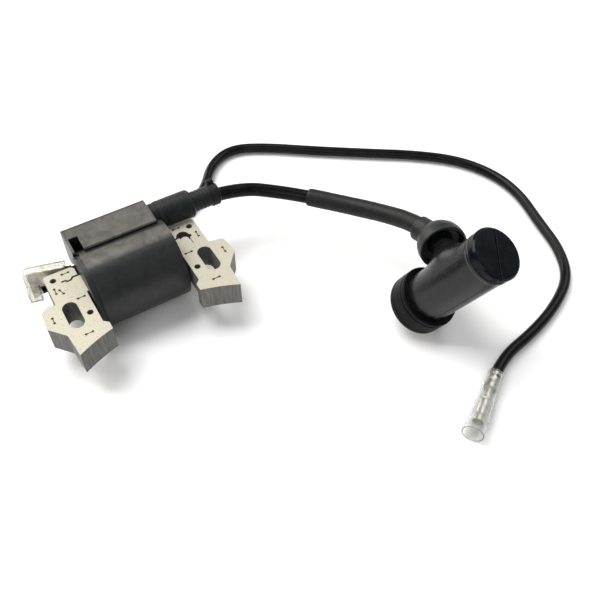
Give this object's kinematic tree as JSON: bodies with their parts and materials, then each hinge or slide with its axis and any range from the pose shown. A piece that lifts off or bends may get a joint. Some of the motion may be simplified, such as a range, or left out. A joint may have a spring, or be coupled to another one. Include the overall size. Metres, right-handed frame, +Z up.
{
  "type": "ignition coil",
  "caption": "Small-engine ignition coil: laminated two-leg core, moulded coil with electronics, high-tension lead with angled plug cap, stop-switch wire.",
  "frame": {"origin": "on the floor, under the middle of the coil unit's box, its two leads left out", "axes": "+X along the coil axis from the switch blade to the lead tower, +Y away from the flywheel, +Z up, out of the core's top face"},
  "size_m": [0.2325, 0.2035, 0.0582],
  "materials": {
    "core_steel": "punched silicon-steel laminations, dull and lightly lacquered",
    "bobbin_nylon": "natural glass-filled nylon",
    "copper_wire": "enamelled copper winding wire",
    "housing_plastic": "dark satin moulded thermoset",
    "end_cap_plastic": "dark satin moulded end",
    "potting_resin": "grey-brown mottled epoxy",
    "board_laminate": "glass-epoxy circuit board",
    "package_epoxy": "black moulded package",
    "resistor_body": "lacquered film resistor",
    "tinned_brass": "tinned brass",
    "boot_rubber": "matte black rubber",
    "clamp_rubber": "matte black rubber ring",
    "lead_jacket": "glossy black lead jacket",
    "heat_shrink": "matte black heat-shrink sleeve",
    "seal_rubber": "matte dark grey rubber",
    "cap_plastic": "satin black moulded phenolic",
    "screw_plastic": "glossy black moulding",
    "spring_steel": "spring steel",
    "resistor_ceramic": "white ceramic",
    "plug_boot_rubber": "satin black rubber",
    "wire_jacket": "glossy black PVC insulation",
    "translucent_cover": "milky translucent nylon",
    "clear_sleeve": "clear flexible PVC sleeve"
  },
  "bodies": {
    "coil": {"left_core_leg": "core_steel", "right_core_leg": "core_steel", "center_core_bar": "core_steel", "primary_bobbin": "bobbin_nylon", "secondary_bobbin": "bobbin_nylon", "primary_winding": "copper_wire", "secondary_winding": "copper_wire", "housing": "housing_plastic", "housing_end_cap": "end_cap_plastic", "potting_resin": "potting_resin", "circuit_board": "board_laminate", "power_transistor": "package_epoxy", "trigger_transistor": "package_epoxy", "bias_resistor": "resistor_body", "blade_terminal": "tinned_brass", "tower_contact": "tinned_brass", "lead_boot": "boot_rubber", "boot_clamp": "clamp_rubber", "ht_lead": "lead_jacket", "lead_sleeve": "heat_shrink", "lead_seal": "seal_rubber", "lead_screw": "tinned_brass", "cap_body": "cap_plastic", "contact_spring": "spring_steel", "plug_boot": "plug_boot_rubber", "kill_wire": "wire_jacket", "flag_terminal": "tinned_brass", "flag_cover": "translucent_cover", "end_terminal": "tinned_brass", "end_sleeve": "clear_sleeve"},
    "plug_contact": {"plug_terminal": "tinned_brass", "snap_clip": "spring_steel", "suppressor_resistor": "resistor_ceramic"},
    "screw_carrier": {"end_seal": "seal_rubber"},
    "end_screw": {"end_screw": "screw_plastic"}
  },
  "joints": [
    {"name": "terminal_press", "type": "slide", "parent": "coil", "child": "plug_contact", "axis": [0.25, -0.433, 0.866], "range_m": [0, 0.002], "stiffness_N_per_m": 800, "springref_m": -0.001, "deforming": ["contact_spring"]},
    {"name": "end_screw_travel", "type": "slide", "parent": "coil", "child": "screw_carrier", "axis": [0.25, -0.433, 0.866], "range_m": [0, 0.003]},
    {"name": "end_screw_turn", "type": "hinge", "parent": "screw_carrier", "child": "end_screw", "pos_m": [0.1068, -0.0869, 0.04927], "axis": [0.25, -0.433, 0.866], "range_deg": [0, 720]}
  ],
  "couplings": [
    {"joint": "end_screw_travel", "follows": "end_screw_turn", "m_per_rad": 0.00023873}
  ]
}
